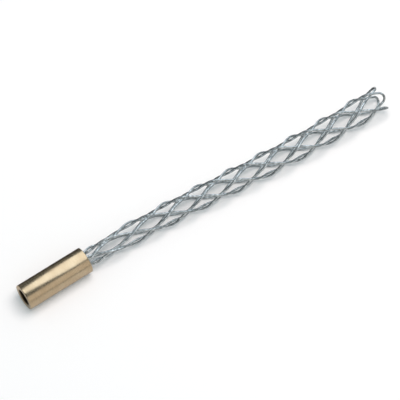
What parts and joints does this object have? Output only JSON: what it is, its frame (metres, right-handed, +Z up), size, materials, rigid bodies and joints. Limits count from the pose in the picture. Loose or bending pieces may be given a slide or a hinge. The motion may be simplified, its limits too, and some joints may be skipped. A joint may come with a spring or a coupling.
{
  "type": "cable pulling grip",
  "caption": "Cable pulling grip: a short brass sleeve with a threaded end, holding a long open tube woven from thin galvanised wire ropes.",
  "frame": {"origin": "under the middle of the grip, on the ground it lies on", "axes": "+X from the threaded end of the sleeve towards the open mouth of the woven tube, +Z up, the tube drifts a little towards -Y"},
  "size_m": [0.1554, 0.017, 0.0104],
  "materials": {
    "brass": "satin, turned from bar",
    "wire_rope": "galvanised wire, satin",
    "solder": "dull tin solder"
  },
  "bodies": {
    "root": {"threaded_sleeve": "brass", "wire_rope_1": "wire_rope", "wire_rope_2": "wire_rope", "wire_rope_3": "wire_rope", "wire_rope_4": "wire_rope", "solder_anchor": "solder"}
  },
  "joints": []
}
